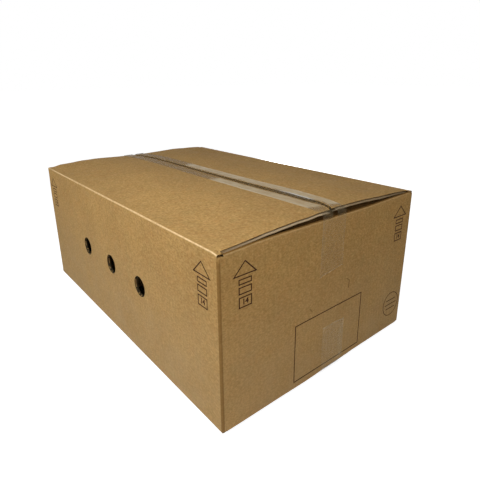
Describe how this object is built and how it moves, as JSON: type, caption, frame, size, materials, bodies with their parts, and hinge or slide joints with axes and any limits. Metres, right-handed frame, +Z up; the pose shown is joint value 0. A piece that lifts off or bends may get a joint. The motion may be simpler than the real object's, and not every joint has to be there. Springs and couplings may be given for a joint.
{
  "type": "ventilated cardboard box",
  "caption": "Regular slotted carton of corrugated board with a row of round vents in each long side, closed flaps bulging under clear tape.",
  "frame": {"origin": "on the ground under the middle of the box", "axes": "+Z up, +X along the box's length and its flaps' seams, towards the end with the ruled panel; +Y across the box, from the front long panel to the back one"},
  "size_m": [0.6004, 0.39, 0.259],
  "materials": {
    "kraft_board": "matt brown kraft liner",
    "clear_film": "clear glossy film with adhesive"
  },
  "bodies": {
    "root": {"carton": "kraft_board", "top_tape": "clear_film", "bottom_tape": "clear_film"}
  },
  "joints": []
}
